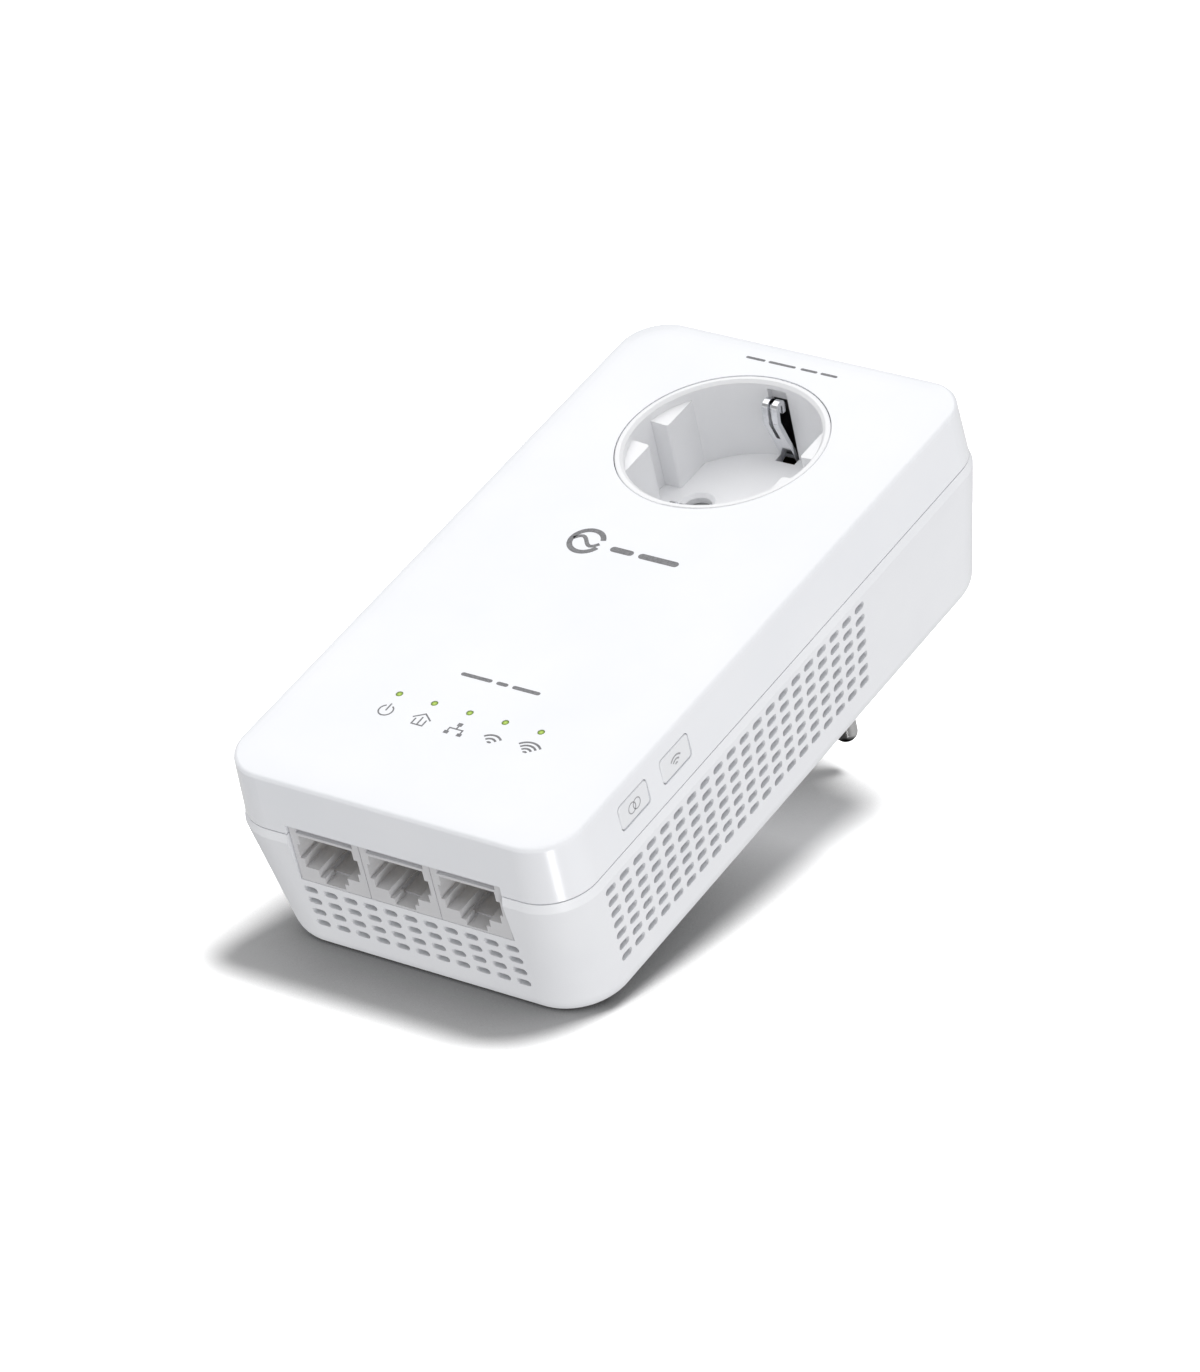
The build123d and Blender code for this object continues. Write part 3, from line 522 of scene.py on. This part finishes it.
def outline_box(art, u, v, half_w, half_h, width):
    """Four strokes round a rectangle."""
    corners = [(u - half_w, v - half_h), (u + half_w, v - half_h),
               (u + half_w, v + half_h), (u - half_w, v + half_h)]
    for start, end in zip(corners, corners[1:] + corners[:1]):
        art.stroke([start, end], width)


def print_label(ink):
    """Frame line, a class II sign and plain dashes on the blank rating label."""
    middle = (LABEL_LOW + LABEL_HIGH) / 2
    art = Print(Vector((middle.x, LABEL_HIGH.y, middle.z)), -X_AXIS, Z_AXIS, 0.02)
    half_w, half_h = 20.4, 15.9
    outline_box(art, 0, 0, half_w, half_h, 0.25)
    for row, widths in enumerate(((24, 9), (14, 18), (30,), (9, 12, 6))):
        u = -half_w + 2.0
        for width in widths:
            art.dash(u, half_h - 4.0 - 3.6 * row, width, 1.0)
            u += width + 1.6
    for half in (3.0, 1.7):
        outline_box(art, -13, -9, half, half, 0.35)
    art.build("label_print", "case", ink)


# ---- floor, world and lights ----------------------------------------------------------------
# The case rests on its rounded lower back edge, with its upper end raised clear of the floor.
TILT = math.radians(18.84)
FLOOR_UP = Vector((0, -math.cos(TILT), math.sin(TILT)))
FLOOR_FAR = Vector((0, math.sin(TILT), math.cos(TILT)))


def floor_point():
    """Where the floor touches the rounded lower back edge of the rear case."""
    centre = Vector((0, CASE_HIGH.y - BACK_EDGE_RADIUS,
                     CASE_LOW.z + END_DRAFT + BACK_EDGE_RADIUS))
    return centre - FLOOR_UP * BACK_EDGE_RADIUS


def make_floor():
    """A pale sheet with painted shade close to the object, unseen from below."""
    half = 3.0
    middle = floor_point()
    corners = []
    for along, far in ((-half, -half), (half, -half), (half, half), (-half, half)):
        corners.append(middle + X_AXIS * along + FLOOR_FAR * far)
    mesh = bpy.data.meshes.new("floor")
    mesh.from_pydata([tuple(c) for c in corners], [], [(0, 1, 2, 3)])
    floor = bpy.data.objects.new("floor", mesh)
    bpy.context.scene.collection.objects.link(floor)
    paint = Paint("floor_paint")
    tree = paint.tree
    tone = paint.ramp(paint.noise(3.0), [(0.3, (0.97, 0.97, 0.972)), (0.7, (0.985, 0.985, 0.985))])
    # Painted shade: ambient occlusion darkens the floor's colour close to the object.
    near = paint.node("AmbientOcclusion", {"samples": 8}, Color=tone, Distance=0.028)
    diffuse = paint.node("BsdfDiffuse", Color=near.outputs["Color"]).outputs["BSDF"]
    clear = paint.node("BsdfTransparent").outputs["BSDF"]
    behind = paint.node("NewGeometry").outputs["Backfacing"]
    choose = paint.node("MixShader")
    tree.links.new(behind, choose.inputs[0])
    tree.links.new(diffuse, choose.inputs[1])
    tree.links.new(clear, choose.inputs[2])
    tree.nodes.remove(paint.shader)
    tree.links.new(choose.outputs[0], tree.nodes["Material Output"].inputs["Surface"])
    mesh.materials.append(paint.material)
    if mesh.polygons[0].normal.dot(FLOOR_UP) < 0:
        mesh.flip_normals()
    for ray in ("diffuse", "glossy", "transmission", "volume_scatter", "shadow"):
        setattr(floor, "visible_" + ray, False)
    return floor


def make_world():
    """White to the camera; to the object a soft studio, brightest near the floor's level."""
    world = bpy.data.worlds.new("studio")
    bpy.context.scene.world = world
    world.use_nodes = True
    tree = world.node_tree
    tree.nodes.clear()

    def node(kind, **settings):
        made = tree.nodes.new("ShaderNode" + kind)
        for key, value in settings.items():
            setattr(made, key, value)
        return made

    def along(direction):
        dot = node("VectorMath", operation="DOT_PRODUCT")
        tree.links.new(where, dot.inputs[0])
        dot.inputs[1].default_value = direction
        return dot.outputs["Value"]

    def curve(value, stops):
        """A grey level along a dot product from -1 to 1."""
        scale = node("MapRange")
        scale.inputs["From Min"].default_value = -1.0
        tree.links.new(value, scale.inputs["Value"])
        ramp = node("ValToRGB")
        ramp.color_ramp.interpolation = "EASE"
        elements = ramp.color_ramp.elements
        while len(elements) < len(stops):
            elements.new(0.5)
        for element, (place, level) in zip(elements, stops):
            element.position = (place + 1) / 2
            element.color = (level, level, level, 1.0)
        tree.links.new(scale.outputs["Result"], ramp.inputs["Fac"])
        return ramp.outputs["Color"]

    where = node("TexCoord").outputs["Generated"]
    height = curve(along(FLOOR_UP), [(-1.0, 0.0), (-0.8, 0.1), (-0.5, 0.7), (-0.06, 0.82),
                                     (0.1, 0.4), (1.0, 0.4)])
    side = curve(along((1, 0, 0)), [(0.2, 0.0), (0.95, 0.2)])
    both = node("VectorMath", operation="ADD")
    tree.links.new(height, both.inputs[0])
    tree.links.new(side, both.inputs[1])
    light = node("Background")
    tree.links.new(both.outputs["Vector"], light.inputs["Color"])
    white = node("Background")
    white.inputs["Color"].default_value = (1, 1, 1, 1)
    seen = node("LightPath").outputs["Is Camera Ray"]
    choose = node("MixShader")
    tree.links.new(seen, choose.inputs[0])
    tree.links.new(light.outputs[0], choose.inputs[1])
    tree.links.new(white.outputs[0], choose.inputs[2])
    output = node("OutputWorld")
    tree.links.new(choose.outputs[0], output.inputs["Surface"])


def make_sun(name, toward, energy, spread, floor, lights_floor):
    """A distant light of this angular size that lights either the floor alone or all but it."""
    data = bpy.data.lights.new(name, "SUN")
    data.energy = energy
    data.angle = math.radians(spread)
    sun = bpy.data.objects.new(name, data)
    bpy.context.scene.collection.objects.link(sun)
    sun.rotation_mode = "QUATERNION"
    sun.rotation_quaternion = Vector(toward).to_track_quat("Z", "Y")
    lit = bpy.data.collections.new(name + "_lit")
    lit.objects.link(floor)
    state = "INCLUDE" if lights_floor else "EXCLUDE"
    lit.collection_objects[0].light_linking.link_state = state
    sun.light_linking.receiver_collection = lit


def make_lights(floor):
    """A wide soft light on the object, and a narrower one that draws its shadow on the floor."""
    make_sun("shadow_key", (0.15, -0.85, 0.54), 6.5, 27, floor, True)
    make_sun("soft_key", (-0.15, -0.95, 0.3), 1.95, 90, floor, False)
    make_sun("corner_fill", (0.66, 0.4, -0.64), 0.95, 25, floor, False)


# ---- put together ---------------------------------------------------------------------------
def main():
    make_camera()
    make_world()
    make_lights(make_floor())
    paint_cad(make_materials())
    ink = printed_ink("front_ink", (0.16, 0.16, 0.17), (0.24, 0.24, 0.25))
    print_front(ink)
    button_ink = printed_ink("button_ink", (0.3, 0.3, 0.32), (0.4, 0.4, 0.42))
    print_button("pair_mark", "pair_button", 0, button_ink)
    print_button("wifi_mark", "wifi_button", 3, button_ink)
    print_label(printed_ink("label_ink", (0.03, 0.03, 0.03), (0.06, 0.06, 0.06)))
    bpy.context.scene.view_settings.view_transform = "Standard"


main()
